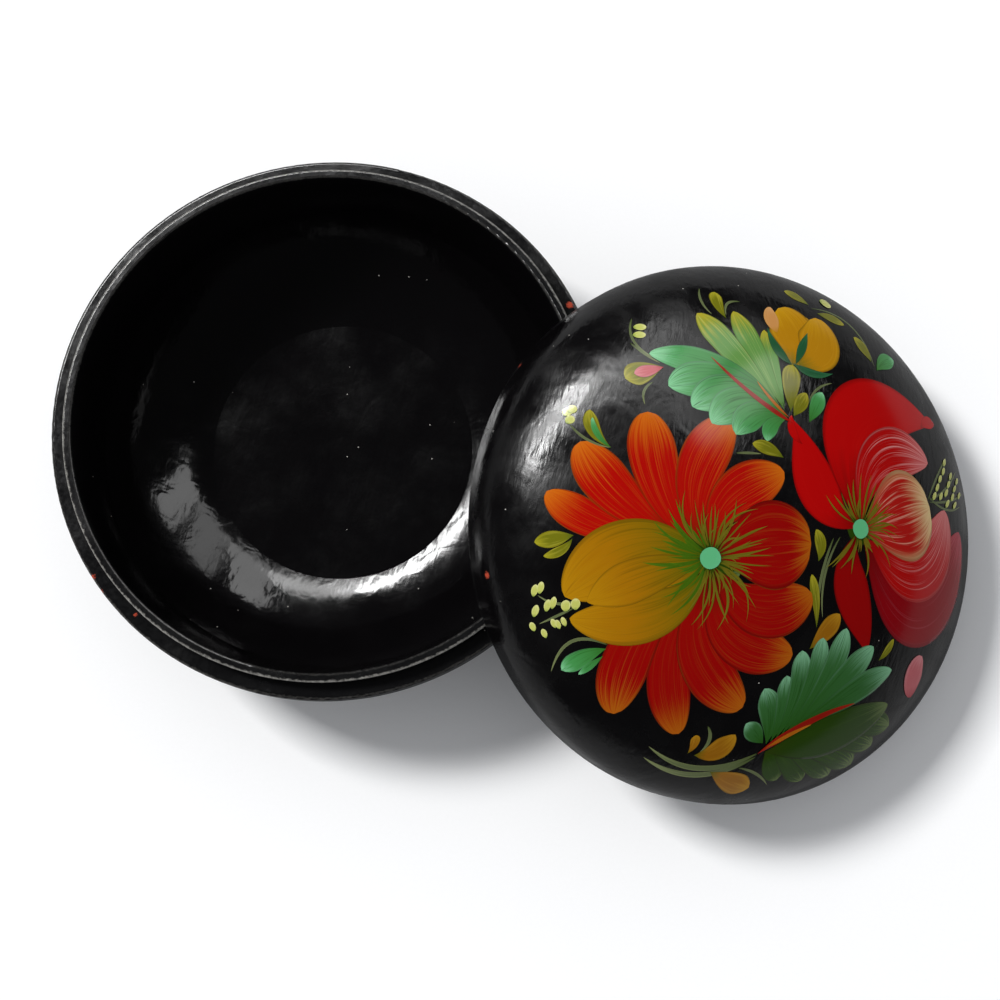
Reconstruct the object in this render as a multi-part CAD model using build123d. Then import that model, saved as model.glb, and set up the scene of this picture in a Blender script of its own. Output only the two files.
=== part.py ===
from build123d import *

import math
import os

# A round wooden box, turned in two pieces: a bowl whose rim is stepped into a ledge and a lip, and a
# domed lid with a rebate that drops over the lip. The lid has been taken off. It leans on the bowl,
# with its flat rim across the lip and its far edge on the table.
# Millimetres, +Z up. The origin is the centre of the bowl's foot, and +X runs from the bowl to the lid.

# Both pieces
box_radius = 80.0  # widest circle of the bowl
lid_inset = 2.0  # how far the closed lid's edge stands in from that circle

# Bowl, outside
ledge_height = 45.0  # table to the ledge that carries the closed lid
bowl_side = 5.0  # upright band under the ledge
foot_radius = 42.0
foot_round = 1.0
ledge_round = 1.0

# Bowl, rim
ledge_width = 4.5
lip_height = 4.5  # above the ledge
lip_wall = 2.5  # thickness at the top
lip_round = 0.7

# Bowl, inside
wall_lean = 4.0  # how far the upper wall draws in on its way down to the turned ring
ring_drop = 21.5  # top of the lip down to the turned ring
floor_radius = 40.5  # flat disc in the middle
floor_thickness = 7.7
cove_slope = 12.0  # degrees, where the cove leaves the flat floor

# Lid
lid_height = 42.0  # flat rim to the crown
lid_side = 6.0  # upright band above the rim
lid_wall = 6.0  # at the foot of the dome
crown_thickness = 6.0
lid_edge_round = 1.0
rebate_round = 0.4

# Fits
rebate_clearance = 0.5  # round the lip when the lid is on
rebate_headroom = 0.5  # over the lip when the lid is on
lean_clearance = 0.3  # between the leaning lid and the lip

# Lean
lid_reach = 38.0  # edge of the bowl to the middle of the leaning lid's rim, seen from above
lean_samples = 3000  # points tested round a quarter of the lip
lean_halvings = 40

# A Bezier curve follows a quarter of an ellipse when its handles are this share of each half-axis
quarter_handle = 4 / 3 * (math.sqrt(2) - 1)

# Worked out from the sizes above
lip_top = ledge_height + lip_height
lip_outer_radius = box_radius - ledge_width
lip_inner_radius = lip_outer_radius - lip_wall
ring_radius = lip_inner_radius - wall_lean
ring_height = lip_top - ring_drop
rebate_radius = lip_outer_radius + rebate_clearance
rebate_depth = lip_height + rebate_headroom
lid_radius = box_radius - lid_inset
dome_radius = lid_radius - lid_wall
lid_centre_x = box_radius + lid_reach


def turned(outline):
    """Turn a closed outline, drawn in the XZ plane on the +X side, round the Z axis."""
    return revolve(make_face(outline), Axis.Z)


def dome_curve(foot_height, radius, rise):
    """A quarter of an ellipse in the XZ plane, upright at its foot and level on the Z axis."""
    return Bezier(
        (radius, 0, foot_height),
        (radius, 0, foot_height + quarter_handle * rise),
        (quarter_handle * radius, 0, foot_height + rise),
        (0, 0, foot_height + rise),
    )


def circle_edges(part, radius, height):
    """The part's circular edges of one radius that lie at one height."""
    circles = part.edges().filter_by(GeomType.CIRCLE)
    return circles.filter_by(
        lambda edge: math.isclose(edge.radius, radius, abs_tol=1e-4)
        and math.isclose(edge.arc_center.Z, height, abs_tol=1e-4)
    )


def make_bowl():
    """The bowl, standing on its flat foot."""
    middle_height = ledge_height - bowl_side
    depth = middle_height / math.sqrt(1 - (foot_radius / box_radius) ** 2)
    foot_angle = math.degrees(math.asin(middle_height / depth))
    slope = math.radians(cove_slope)

    body_curve = Plane.XZ * EllipticalCenterArc(
        (0, middle_height), box_radius, depth, -foot_angle, arc_size=foot_angle
    )
    rim = Polyline(
        (box_radius, 0, middle_height),
        (box_radius, 0, ledge_height),
        (lip_outer_radius, 0, ledge_height),
        (lip_outer_radius, 0, lip_top),
        (lip_inner_radius, 0, lip_top),
        (ring_radius, 0, ring_height),
    )
    floor_edge = (floor_radius, 0, floor_thickness)
    cove = TangentArc(
        floor_edge,
        (ring_radius, 0, ring_height),
        tangent=(math.cos(slope), 0, math.sin(slope)),
    )
    middle = Polyline(floor_edge, (0, 0, floor_thickness), (0, 0, 0), (foot_radius, 0, 0))
    bowl = turned([body_curve, rim, cove, middle])

    bowl = fillet(circle_edges(bowl, box_radius, ledge_height), ledge_round)
    lip_edges = circle_edges(bowl, lip_outer_radius, lip_top) + circle_edges(bowl, lip_inner_radius, lip_top)
    bowl = fillet(lip_edges, lip_round)
    return fillet(circle_edges(bowl, foot_radius, 0), foot_round)


def make_lid():
    """The lid in its own frame, with the flat rim at height 0 and the crown up."""
    ceiling = lid_height - crown_thickness
    outer_dome = dome_curve(lid_side, lid_radius, lid_height - lid_side)
    inner_dome = dome_curve(rebate_depth, dome_radius, ceiling - rebate_depth)
    rim = Polyline(
        (dome_radius, 0, rebate_depth),
        (rebate_radius, 0, rebate_depth),
        (rebate_radius, 0, 0),
        (lid_radius, 0, 0),
        (lid_radius, 0, lid_side),
    )
    crown = Line((0, 0, ceiling), (0, 0, lid_height))
    lid = turned([outer_dome, inner_dome, rim, crown])

    lid = fillet(circle_edges(lid, lid_radius, 0), lid_edge_round)
    return fillet(circle_edges(lid, rebate_radius, 0), rebate_round)


def rim_height(tilt):
    """Height of the middle of the lid's rim when its far, rounded edge touches the table."""
    arm = lid_radius - lid_edge_round
    return arm * math.sin(tilt) + lid_edge_round * (1 - math.cos(tilt))


def lean_gap(tilt):
    """Smallest gap between the lip's rounded outer edge and the flat rim of a lid at this tilt."""
    sine, cosine = math.sin(tilt), math.cos(tilt)
    crest_radius = lip_outer_radius - lip_round
    rise = lip_top - lip_round - rim_height(tilt)
    gap = math.inf
    for sample in range(lean_samples + 1):
        turn = math.pi / 2 * sample / lean_samples
        along = crest_radius * math.cos(turn) - lid_centre_x
        across = crest_radius * math.sin(turn)
        in_rim_plane = math.hypot(along * cosine - rise * sine, across)
        if in_rim_plane >= rebate_radius:
            gap = min(gap, -(along * sine + rise * cosine) - lip_round)
    return gap


def lean_tilt():
    """Tilt at which the lid lies on the lip with the lean clearance, in radians."""
    low, high = 0.0, math.pi / 3
    for _ in range(lean_halvings):
        tilt = (low + high) / 2
        if lean_gap(tilt) < lean_clearance:
            low = tilt
        else:
            high = tilt
    return high


def main():
    """Build both pieces, place the lid and write one STEP file for each."""
    tilt = lean_tilt()
    lid_place = Location((lid_centre_x, 0, rim_height(tilt))) * Rotation(0, math.degrees(tilt), 0)
    pieces = {"bowl": make_bowl(), "lid": lid_place * make_lid()}

    os.makedirs("parts", exist_ok=True)
    for name, piece in pieces.items():
        piece.label = name
        export_step(piece, f"parts/{name}.step")
    print(f"lid leans at {math.degrees(tilt):.2f} degrees, rim centre {rim_height(tilt):.2f} mm up")


main()
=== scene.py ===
"""A turned box in black lacquer: an open bowl, and its flower-painted lid leaning on the rim.

The two turned pieces are the CAD nodes, dressed in lacquer. The painting is laid on the lid's dome
stroke by stroke, as thin coats of tempera.
"""

import logging
import math
import random
from dataclasses import dataclass, field, replace
from enum import Enum

import bmesh
import bpy
from mathutils import Matrix, Vector


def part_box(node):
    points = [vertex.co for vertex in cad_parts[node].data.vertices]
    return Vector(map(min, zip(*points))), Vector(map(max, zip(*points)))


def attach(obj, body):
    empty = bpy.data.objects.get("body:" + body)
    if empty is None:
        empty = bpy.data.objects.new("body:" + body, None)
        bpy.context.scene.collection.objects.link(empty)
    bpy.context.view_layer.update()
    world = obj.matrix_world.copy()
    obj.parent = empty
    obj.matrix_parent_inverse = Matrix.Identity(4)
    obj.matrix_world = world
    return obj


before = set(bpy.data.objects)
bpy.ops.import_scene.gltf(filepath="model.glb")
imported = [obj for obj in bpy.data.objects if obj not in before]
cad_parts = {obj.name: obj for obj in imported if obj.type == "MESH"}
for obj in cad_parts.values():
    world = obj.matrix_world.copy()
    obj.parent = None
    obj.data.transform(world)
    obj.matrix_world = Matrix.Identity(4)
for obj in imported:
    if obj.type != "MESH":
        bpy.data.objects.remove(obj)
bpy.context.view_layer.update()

log = logging.getLogger("box")
MM = 0.001
Point = tuple[float, float]
Colour = tuple[float, float, float, float]
Socket = bpy.types.NodeSocket
Tree = bpy.types.NodeTree


def linear(hex_colour: str) -> Colour:
    """Turns an sRGB hex colour into linear values.

    Args:
        hex_colour: Six hex digits.

    Returns:
        Linear red, green, blue and an alpha of 1.
    """
    parts = [int(hex_colour[i:i + 2], 16) / 255 for i in (0, 2, 4)]
    red, green, blue = (c / 12.92 if c <= 0.04045 else ((c + 0.055) / 1.055) ** 2.4 for c in parts)
    return red, green, blue, 1.0


def add_node(tree: Tree, kind: str, inputs: dict | None = None, output: int | str = 0,
             **settings: object) -> Socket:
    """Adds a node with its settings and links.

    Args:
        tree: The node tree.
        kind: The node's type, without its ShaderNode.
        inputs: Sockets by name or number; a socket is linked and anything else is set.
        output: The output to hand back.
        **settings: The node's own properties.

    Returns:
        The chosen output socket.
    """
    node = tree.nodes.new("ShaderNode" + kind)
    for name, value in settings.items():
        setattr(node, name, value)
    for key, value in (inputs or {}).items():
        if isinstance(value, Socket):
            tree.links.new(value, node.inputs[key])
        else:
            node.inputs[key].default_value = value
    return node.outputs[output] if node.outputs else None


def new_material(name: str) -> tuple[bpy.types.Material, Tree]:
    """Starts an empty node material.

    Args:
        name: The material's name.

    Returns:
        The material and its node tree.
    """
    material = bpy.data.materials.new(name)
    material.use_nodes = True
    material.node_tree.nodes.clear()
    return material, material.node_tree


def overlaid(tree: Tree, ground: str, layers: list[tuple[Socket, str]]) -> Socket:
    """Lays colours over a ground, one after another.

    Args:
        tree: The node tree.
        ground: The hex colour under them all.
        layers: Where each next colour covers, from 0 to 1, and its hex colour.

    Returns:
        The colour on top.
    """
    colour = linear(ground)
    for cover, tint in layers:
        colour = add_node(tree, "Mix", {0: cover, 6: colour, 7: linear(tint)}, 2,
                          data_type="RGBA")
    return colour


# ---------------------------------------------------------------- lacquer


@dataclass(frozen=True)
class Chip:
    """A spot where the lacquer has flaked off the red primer, placed round a piece's axis."""

    turn: float  # degrees round the axis
    radius: float  # mm from the axis
    height: float  # mm above the piece's own base
    size: float  # mm

    def centre(self) -> tuple[float, float, float]:
        """The chip's middle in the piece's own frame, in millimetres."""
        turn = math.radians(self.turn)
        return self.radius * math.cos(turn), self.radius * math.sin(turn), self.height


@dataclass(frozen=True)
class WornAndGlintEdge:
    """A round edge rubbed pale by handling, the pale also a painted highlight along it."""

    radius: float  # mm from the axis
    height: float  # mm above the piece's own base
    # how pale the edge is painted: lacquer rubbed through, and a painted highlight along the edge
    wear_and_glint: float  # how bare it is


@dataclass(frozen=True)
class Turned:
    """Where a point is on a turned piece, and the two noises that its finish shares."""

    tree: Tree
    own: Socket  # place in the piece's own frame, mm
    radius: Socket  # mm from the axis
    height: Socket  # mm above the base
    mottle: Socket
    grit: Socket


@dataclass(frozen=True)
class BlackLacquer:
    """Oil lacquer over lamp black on turned wood, brushed on and left unpolished.

    To the eye it is near-black and glossy, and the drag of the brush breaks up what it mirrors. The
    rim is rubbed dull where the two halves meet, its edges are rubbed pale grey, a pale that is
    also a painted highlight standing in for the glint along them, and here and there it has chipped
    down to the red primer.
    """

    name: str
    gloss_roughness: float
    haze_roughness: float  # where the brush left the coat dull
    ripple_mm: float  # between the swells that the brush left
    ripple_depth_mm: float
    drag_mm: float  # between the finer brush marks
    drag_depth_mm: float
    dull_radius: tuple[float, float]  # mm from the axis, where the rubbed rim begins and is full
    dull_height: tuple[float, float]  # mm above the base, the same
    edges: tuple[WornAndGlintEdge, ...]
    chips: tuple[Chip, ...]
    coat: str = "070607"
    rubbed: str = "0F0F10"
    # pale grey for edges rubbed through and for dust; on the edges it is also a painted highlight,
    # the glint along them
    worn_and_glint: str = "B8B5AE"
    primer: str = "A8402A"
    ior: float = 1.5
    speck_mm: float = 0.36  # dust caught in the wet coat, drawn coarser than it is so that it shows
    speck_gap_mm: float = 7.0
    mottle_per_mm: float = 0.9  # the rubbed rim is blotched about every millimetre
    mottle_span: tuple[float, float] = (0.3, 0.62)  # of the noise, least rubbed to most
    rub_least: float = 0.45
    grit_per_mm: float = 2.6  # bare edges and chips are ragged at about 0.4 mm
    edge_ragged_mm: float = 1.6  # how far the mottle pushes a worn edge's outline
    edge_width_mm: tuple[float, float] = (1.35, 0.8)  # a worn edge starts and is full within these
    chip_ragged: float = 1.2  # share of its size that the grit pushes a chip's outline
    chip_width: tuple[float, float] = (1.15, 0.95)  # shares of its size where it starts and is full
    haze_per_mm: float = 0.07  # hazy clouds are about 14 mm across
    haze_span: tuple[float, float] = (0.38, 0.68)  # of the noise, from glossy to hazy
    mottle_roughness: float = 0.06
    worn_roughness: float = 0.1  # added where it is rubbed or bare
    drag_turn: float = 0.7  # radians, the way the brush went
    drag_stretch: tuple[float, float, float] = (1.0, 0.22, 0.6)

    def material(self, place: Matrix) -> bpy.types.Material:
        """Builds the material.

        Args:
            place: The piece's own frame in the row frame.

        Returns:
            The material.
        """
        material, tree = new_material(self.name)
        on = self._turned(tree, place)
        colour, worn_and_glint = self._colour(on)
        shader = add_node(tree, "BsdfPrincipled", {
            "Base Color": colour, "Roughness": self._roughness(on, worn_and_glint),
            "Normal": self._relief(on), "IOR": self.ior,
        })
        add_node(tree, "OutputMaterial", {"Surface": shader})
        return material

    def _turned(self, tree: Tree, place: Matrix) -> Turned:
        """Finds a point's place on the piece.

        Args:
            tree: The node tree.
            place: The piece's own frame in the row frame.

        Returns:
            Its coordinates and the shared noises.
        """
        back = place.inverted()
        own = add_node(tree, "Mapping", {
            "Vector": add_node(tree, "TexCoord", output="Object"),
            "Location": back.translation / MM,
            "Rotation": back.to_euler("XYZ"),
            "Scale": (1 / MM,) * 3,
        })
        x, y, height = add_node(tree, "SeparateXYZ", {0: own}).node.outputs
        flat = add_node(tree, "CombineXYZ", {"X": x, "Y": y})
        radius = add_node(tree, "VectorMath", {0: flat}, "Value", operation="LENGTH")
        mottle = add_node(tree, "TexNoise", {
            "Vector": own, "Scale": self.mottle_per_mm, "Detail": 4.0, "Roughness": 0.65})
        grit = add_node(tree, "TexNoise", {
            "Vector": own, "Scale": self.grit_per_mm, "Detail": 3.0})
        return Turned(tree, own, radius, height, mottle, grit)

    def _dull(self, on: Turned) -> Socket:
        """Finds the rim that the two halves rub on each other.

        Args:
            on: The point on the piece.

        Returns:
            How rubbed it is, from 0 to 1.
        """
        (begins, full), (low, high) = self.dull_radius, self.dull_height
        out = add_node(on.tree, "MapRange", {
            "Value": on.radius, "From Min": begins, "From Max": full})
        up = add_node(on.tree, "MapRange", {
            "Value": on.height, "From Min": low, "From Max": high})
        rim = add_node(on.tree, "Math", {0: out, 1: up}, operation="MULTIPLY")
        faint, strong = self.mottle_span
        broken = add_node(on.tree, "MapRange", {
            "Value": on.mottle, "From Min": faint, "From Max": strong, "To Min": self.rub_least})
        return add_node(on.tree, "Math", {0: rim, 1: broken}, operation="MULTIPLY")

    def _bare_and_glint(self, on: Turned, edge: WornAndGlintEdge) -> Socket:
        """Finds where one edge is rubbed through to pale, which also serves as a painted highlight
        along it.

        Args:
            on: The point on the piece.
            edge: The edge.

        Returns:
            How pale it is, as rubbed lacquer and as painted highlight, from 0 up.
        """
        aside = add_node(on.tree, "Math", {0: on.radius, 1: edge.radius},
                         operation="SUBTRACT")
        above = add_node(on.tree, "Math", {0: on.height, 1: edge.height},
                         operation="SUBTRACT")
        away = add_node(on.tree, "VectorMath", {
            0: add_node(on.tree, "CombineXYZ", {"X": aside, "Y": above})},
            "Value", operation="LENGTH")
        ragged = add_node(on.tree, "Math", {
            0: on.mottle, 1: self.edge_ragged_mm, 2: away}, operation="MULTIPLY_ADD")
        starts, full = self.edge_width_mm
        worn_and_glint = add_node(on.tree, "MapRange", {
            "Value": ragged, "From Min": starts, "From Max": full, "To Max": edge.wear_and_glint})
        return add_node(on.tree, "Math", {0: worn_and_glint, 1: on.grit}, operation="MULTIPLY")

    def _flaked(self, on: Turned, chip: Chip) -> Socket:
        """Finds where one chip has flaked off, with its ragged outline.

        Args:
            on: The point on the piece.
            chip: The chip.

        Returns:
            0 off the chip and 1 on it.
        """
        away = add_node(on.tree, "VectorMath", {0: on.own, 1: chip.centre()}, "Value",
                        operation="DISTANCE")
        ragged = add_node(on.tree, "Math", {
            0: on.grit, 1: chip.size * self.chip_ragged, 2: away}, operation="MULTIPLY_ADD")
        starts, full = self.chip_width
        return add_node(on.tree, "MapRange", {
            "Value": ragged, "From Min": chip.size * starts, "From Max": chip.size * full})

    def _colour(self, on: Turned) -> tuple[Socket, Socket]:
        """Lays rubbing, dust, chips and the painted highlight of the pale edges over the coat.

        Args:
            on: The point on the piece.

        Returns:
            The colour, and a mask of what is rubbed, rubbed through or under the painted edge
            highlight.
        """
        mask = self._dull(on)
        # pale edges: lacquer rubbed through, and a painted highlight along them
        bare_and_glint = [self._bare_and_glint(on, edge) for edge in self.edges]
        flaked = [self._flaked(on, chip) for chip in self.chips]
        speck = add_node(on.tree, "TexVoronoi", {
            "Vector": on.own, "Scale": 1 / self.speck_gap_mm}, "Distance")
        dust = add_node(on.tree, "Math", {
            0: speck, 1: self.speck_mm / self.speck_gap_mm / 2}, operation="LESS_THAN")
        colour = overlaid(on.tree, self.coat, [
            (mask, self.rubbed), *((spot, self.worn_and_glint) for spot in bare_and_glint), (dust, self.worn_and_glint),
            *((spot, self.primer) for spot in flaked)])
        for spot in bare_and_glint + flaked:
            mask = add_node(on.tree, "Math", {0: mask, 1: spot}, operation="MAXIMUM")
        return colour, mask

    def _roughness(self, on: Turned, worn_and_glint: Socket) -> Socket:
        """Makes the coat glossy with hazy clouds, and duller where it is rubbed.

        Args:
            on: The point on the piece.
            worn_and_glint: The mask of what is rubbed, rubbed through or under the painted edge
                highlight.

        Returns:
            The roughness.
        """
        cloud = add_node(on.tree, "TexNoise", {
            "Vector": on.own, "Scale": self.haze_per_mm, "Detail": 5.0})
        glossy, dull = self.haze_span
        hazy = add_node(on.tree, "MapRange", {
            "Value": cloud, "From Min": glossy, "From Max": dull,
            "To Min": self.gloss_roughness, "To Max": self.haze_roughness})
        fine = add_node(on.tree, "Math", {
            0: on.mottle, 1: self.mottle_roughness, 2: hazy}, operation="MULTIPLY_ADD")
        return add_node(on.tree, "Math", {0: worn_and_glint, 1: self.worn_roughness, 2: fine},
                        operation="MULTIPLY_ADD", use_clamp=True)

    def _relief(self, on: Turned) -> Socket:
        """Raises the swells and the finer drag marks that the brush left in the lacquer.

        Args:
            on: The point on the piece.

        Returns:
            The surface normal.
        """
        swell = add_node(on.tree, "TexNoise", {
            "Vector": on.own, "Scale": 1 / self.ripple_mm, "Detail": 2.0, "Distortion": 0.6})
        stretched = add_node(on.tree, "Mapping", {
            "Vector": on.own, "Rotation": (0.0, 0.0, self.drag_turn), "Scale": self.drag_stretch})
        drag = add_node(on.tree, "TexNoise", {
            "Vector": stretched, "Scale": 1 / self.drag_mm, "Detail": 3.0, "Distortion": 0.3})
        wide = add_node(on.tree, "Bump", {
            "Height": swell, "Distance": self.ripple_depth_mm * MM, "Strength": 1.0})
        return add_node(on.tree, "Bump", {
            "Height": drag, "Distance": self.drag_depth_mm * MM, "Strength": 1.0, "Normal": wide})


# ---------------------------------------------------------------- paint


@dataclass(frozen=True)
class StrokePaint:
    """Tempera under a coat of varnish, laid in one stroke with two colours on the brush.

    To the eye it is a smooth satin colour. The bristles leave fine lines along the stroke, the
    second colour gathers at the edges and the tip, the root is thinned into the colour it starts
    from, and the black ground shows through the thin rim.
    """

    name: str
    body: str
    edge: str
    root: str
    line: str
    shade: str = "1A1204"  # the lacquer that shows through the thinned rim
    edge_from: float = 0.55  # share of the half-width where the second colour starts
    tip_from: float = 0.6  # share of the length where it starts
    root_to: float = 0.3  # share of the length that the root colour reaches
    # streaks across the stroke; even 40 of them lie 0.3 mm apart on a petal, which is coarser than
    # the marks of real bristles, so that they show
    lines_across: float = 9.0
    lines_from: float = -0.5  # share of the length where the fine lines set in
    line_strength: float = 0.5
    rim: float = 0.6  # how dark the thinned edge of the stroke is
    roughness: float = 0.14
    ior: float = 1.42
    rim_from: float = 0.86  # share of the half-width where the rim thins
    ridge_mm: float = 0.012  # height of the ridges between the bristles
    lines_along: float = 1.3  # how often a line breaks off in the stroke's length
    number_gap: float = 7.31  # sets the lines of one stroke apart from the next one's
    # how far the bristles push each colour's outline, and by how much it is set back, about half of
    # that, so that on average it keeps its place
    edge_ragged: float = 0.5
    edge_past: float = 0.25
    edge_full: float = 1.38  # of the pushed share, where the second colour is full
    edge_sets_in: tuple[float, float] = (0.15, 0.6)  # shares of the length, from none to full
    tip_ragged: float = 0.7
    tip_past: float = 0.3
    tip_full: float = 1.35  # the same at the tip
    root_ragged: float = -0.35
    root_past: float = -0.17
    line_span: tuple[float, float] = (0.54, 0.66)  # of the noise, from no line to a full one

    def material(self) -> bpy.types.Material:
        """Builds the material from the stroke's own coordinates: along, across and its number."""
        material, tree = new_material(self.name)
        uv = add_node(tree, "UVMap", uv_map=Brushwork.uv_name)
        along, across, _ = add_node(tree, "SeparateXYZ", {0: uv}).node.outputs
        bristle = self._bristle(tree, along, across)
        centred = add_node(tree, "Math", {0: across, 1: 2.0, 2: -1.0},
                           operation="MULTIPLY_ADD")
        side = add_node(tree, "Math", {0: centred}, operation="ABSOLUTE")
        colour = overlaid(tree, self.body, self._covers(tree, along, side, bristle))
        ridge = add_node(tree, "Bump", {
            "Height": bristle, "Distance": self.ridge_mm * MM})
        shader = add_node(tree, "BsdfPrincipled", {
            "Base Color": colour, "Normal": ridge, "Roughness": self.roughness, "IOR": self.ior})
        add_node(tree, "OutputMaterial", {"Surface": shader})
        return material

    def _bristle(self, tree: Tree, along: Socket, across: Socket) -> Socket:
        """Draws the streaks of the bristles, different in each stroke.

        Args:
            tree: The node tree.
            along: Share of the length.
            across: Share of the width.

        Returns:
            The streaks, as a noise.
        """
        number = add_node(tree, "Attribute", output="Fac",
                          attribute_name=Brushwork.number_name)
        scales = {"X": (along, self.lines_along), "Y": (across, self.lines_across),
                  "Z": (number, self.number_gap)}
        stretched = add_node(tree, "CombineXYZ", {
            axis: add_node(tree, "Math", {0: value, 1: scale}, operation="MULTIPLY")
            for axis, (value, scale) in scales.items()})
        return add_node(tree, "TexNoise", {
            "Vector": stretched, "Scale": 1.0, "Detail": 2.5, "Roughness": 0.75})

    def _covers(self, tree: Tree, along: Socket, side: Socket, bristle: Socket,
                ) -> list[tuple[Socket, str]]:
        """Finds where each colour covers the body, with outlines that the bristles leave ragged.

        Args:
            tree: The node tree.
            along: Share of the length.
            side: Share of the half-width.
            bristle: The streaks.

        Returns:
            The covers, from 0 to 1, and their colours, from the lowest to the one on top.
        """
        by_edge, by_tip, by_root = (
            add_node(tree, "Math", {0: bristle, 1: ragged, 2: place}, operation="MULTIPLY_ADD")
            for ragged, place in ((self.edge_ragged, side), (self.tip_ragged, along),
                                  (self.root_ragged, along)))
        at_edge = add_node(tree, "MapRange", {
            "Value": by_edge, "From Min": self.edge_from + self.edge_past,
            "From Max": self.edge_full}, interpolation_type="SMOOTHSTEP")
        begins, full = self.edge_sets_in
        reach = add_node(tree, "MapRange", {"Value": along, "From Min": begins, "From Max": full})
        at_edge = add_node(tree, "Math", {0: at_edge, 1: reach}, operation="MULTIPLY")
        at_tip = add_node(tree, "MapRange", {
            "Value": by_tip, "From Min": self.tip_from + self.tip_past,
            "From Max": self.tip_full}, interpolation_type="SMOOTHSTEP")
        second = add_node(tree, "Math", {0: at_edge, 1: at_tip}, operation="MAXIMUM")
        none, full = self.line_span
        lines = add_node(tree, "MapRange", {
            "Value": bristle, "From Min": none, "From Max": full, "To Max": self.line_strength})
        fade = add_node(tree, "MapRange", {
            "Value": along, "From Min": self.lines_from, "From Max": self.lines_from + 0.5})
        lines = add_node(tree, "Math", {0: lines, 1: fade}, operation="MULTIPLY")
        at_root = add_node(tree, "MapRange", {
            "Value": by_root, "From Min": self.root_to + self.root_past,
            "From Max": self.root_past})
        at_rim = add_node(tree, "MapRange", {
            "Value": side, "From Min": self.rim_from, "From Max": 1.0, "To Max": self.rim})
        return [(second, self.edge), (lines, self.line), (at_root, self.root),
                (at_rim, self.shade)]


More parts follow.
